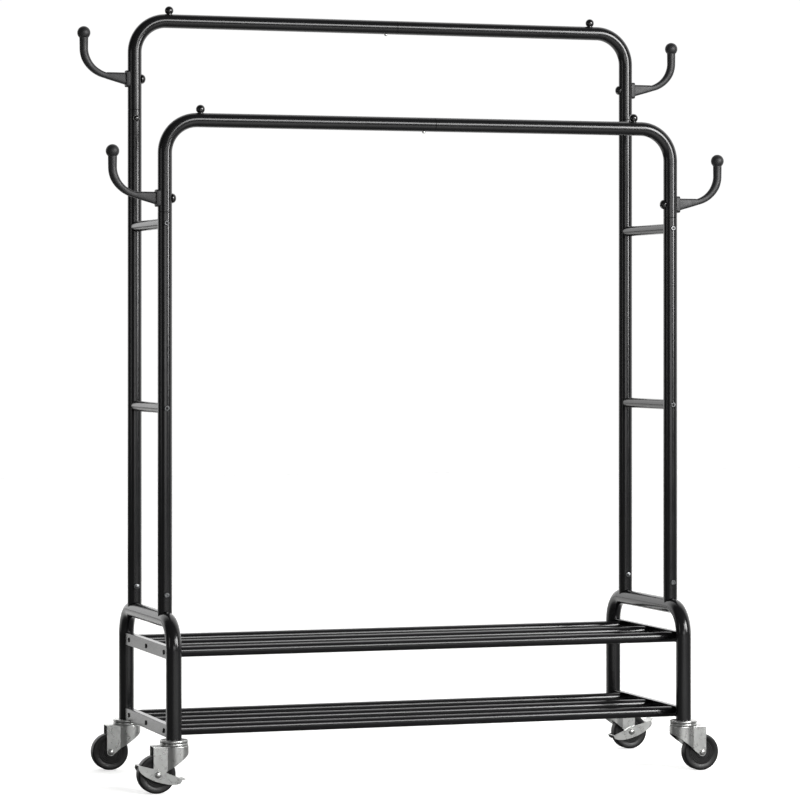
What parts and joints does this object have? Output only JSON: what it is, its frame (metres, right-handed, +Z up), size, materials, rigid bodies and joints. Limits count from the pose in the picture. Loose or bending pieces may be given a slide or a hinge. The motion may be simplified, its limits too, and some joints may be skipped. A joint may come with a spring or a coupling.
{
  "type": "rolling clothes rack",
  "caption": "Rolling clothes rack with a low front rail and a high rear rail, rod shelves, side hooks and swivel casters.",
  "frame": {"origin": "on the floor, under the middle of the rack", "axes": "+Z up, +X to the right seen from the front, +Y to the back, where the taller rail is"},
  "size_m": [1.3178, 0.4402, 1.5666],
  "materials": {
    "black_coat": "semi-gloss black powder coat",
    "hook_plastic": "matte moulded dark grey",
    "gloss_black": "glossy black",
    "zinc": "bright zinc plate",
    "wheel_rubber": "satin black"
  },
  "bodies": {
    "rack": {"base_frame_left": "black_coat", "rung_upper_left": "black_coat", "shelf_rail_upper_left": "black_coat", "rung_lower_left": "black_coat", "shelf_rail_lower_left": "black_coat", "upright_front_left": "black_coat", "top_rail_front_left": "black_coat", "base_bolt_front_left": "zinc", "hook_front_left": "hook_plastic", "hook_bolt_front_left": "gloss_black", "stop_knob_front_left": "gloss_black", "caster_stem_front_left": "zinc", "upright_rear_left": "black_coat", "top_rail_rear_left": "black_coat", "base_bolt_rear_left": "zinc", "hook_rear_left": "hook_plastic", "hook_bolt_rear_left": "gloss_black", "stop_knob_rear_left": "gloss_black", "caster_stem_rear_left": "zinc", "base_frame_right": "black_coat", "rung_upper_right": "black_coat", "shelf_rail_upper_right": "black_coat", "rung_lower_right": "black_coat", "shelf_rail_lower_right": "black_coat", "upright_front_right": "black_coat", "top_rail_front_right": "black_coat", "base_bolt_front_right": "zinc", "hook_front_right": "hook_plastic", "hook_bolt_front_right": "gloss_black", "stop_knob_front_right": "gloss_black", "caster_stem_front_right": "zinc", "upright_rear_right": "black_coat", "top_rail_rear_right": "black_coat", "base_bolt_rear_right": "zinc", "hook_rear_right": "hook_plastic", "hook_bolt_rear_right": "gloss_black", "stop_knob_rear_right": "gloss_black", "caster_stem_rear_right": "zinc", "rail_screw_front": "zinc", "rail_screw_rear": "zinc", "shelf_rod_upper_front": "black_coat", "shelf_rod_upper_middle": "black_coat", "shelf_rod_upper_rear": "black_coat", "shelf_rod_lower_front": "black_coat", "shelf_rod_lower_middle": "black_coat", "shelf_rod_lower_rear": "black_coat"},
    "caster_front_left": {"caster_fork_front_left": "zinc", "caster_axle_front_left": "zinc"},
    "wheel_front_left": {"caster_wheel_front_left": "wheel_rubber"},
    "brake_front_left": {"brake_lever_front_left": "zinc"},
    "caster_rear_left": {"caster_fork_rear_left": "zinc", "caster_axle_rear_left": "zinc"},
    "wheel_rear_left": {"caster_wheel_rear_left": "wheel_rubber"},
    "caster_front_right": {"caster_fork_front_right": "zinc", "caster_axle_front_right": "zinc"},
    "wheel_front_right": {"caster_wheel_front_right": "wheel_rubber"},
    "caster_rear_right": {"caster_fork_rear_right": "zinc", "caster_axle_rear_right": "zinc"},
    "wheel_rear_right": {"caster_wheel_rear_right": "wheel_rubber"},
    "brake_rear_right": {"brake_lever_rear_right": "zinc"}
  },
  "joints": [
    {"name": "swivel_front_left", "type": "hinge", "parent": "rack", "child": "caster_front_left", "pos_m": [-0.5395, -0.1924, 0.0957], "axis": [0, 0, 1], "continuous": true},
    {"name": "wheel_spin_front_left", "type": "hinge", "parent": "caster_front_left", "child": "wheel_front_left", "pos_m": [-0.5755, -0.1924, 0.0375], "axis": [0, 1, 0], "continuous": true},
    {"name": "brake_press_front_left", "type": "hinge", "parent": "caster_front_left", "child": "brake_front_left", "pos_m": [-0.5755, -0.1924, 0.0375], "axis": [0, -1, 0], "range_deg": [0, 12]},
    {"name": "swivel_rear_left", "type": "hinge", "parent": "rack", "child": "caster_rear_left", "pos_m": [-0.5395, 0.1924, 0.0957], "axis": [0, 0, 1], "continuous": true},
    {"name": "wheel_spin_rear_left", "type": "hinge", "parent": "caster_rear_left", "child": "wheel_rear_left", "pos_m": [-0.5755, 0.1924, 0.0375], "axis": [0, 1, 0], "continuous": true},
    {"name": "swivel_front_right", "type": "hinge", "parent": "rack", "child": "caster_front_right", "pos_m": [0.5395, -0.1924, 0.0957], "axis": [0, 0, 1], "continuous": true},
    {"name": "wheel_spin_front_right", "type": "hinge", "parent": "caster_front_right", "child": "wheel_front_right", "pos_m": [0.5755, -0.1924, 0.0375], "axis": [0, 1, 0], "continuous": true},
    {"name": "swivel_rear_right", "type": "hinge", "parent": "rack", "child": "caster_rear_right", "pos_m": [0.5395, 0.1924, 0.0957], "axis": [0, 0, 1], "continuous": true},
    {"name": "wheel_spin_rear_right", "type": "hinge", "parent": "caster_rear_right", "child": "wheel_rear_right", "pos_m": [0.5755, 0.1924, 0.0375], "axis": [0, 1, 0], "continuous": true},
    {"name": "brake_press_rear_right", "type": "hinge", "parent": "caster_rear_right", "child": "brake_rear_right", "pos_m": [0.5755, 0.1924, 0.0375], "axis": [0, 1, 0], "range_deg": [0, 12]}
  ]
}
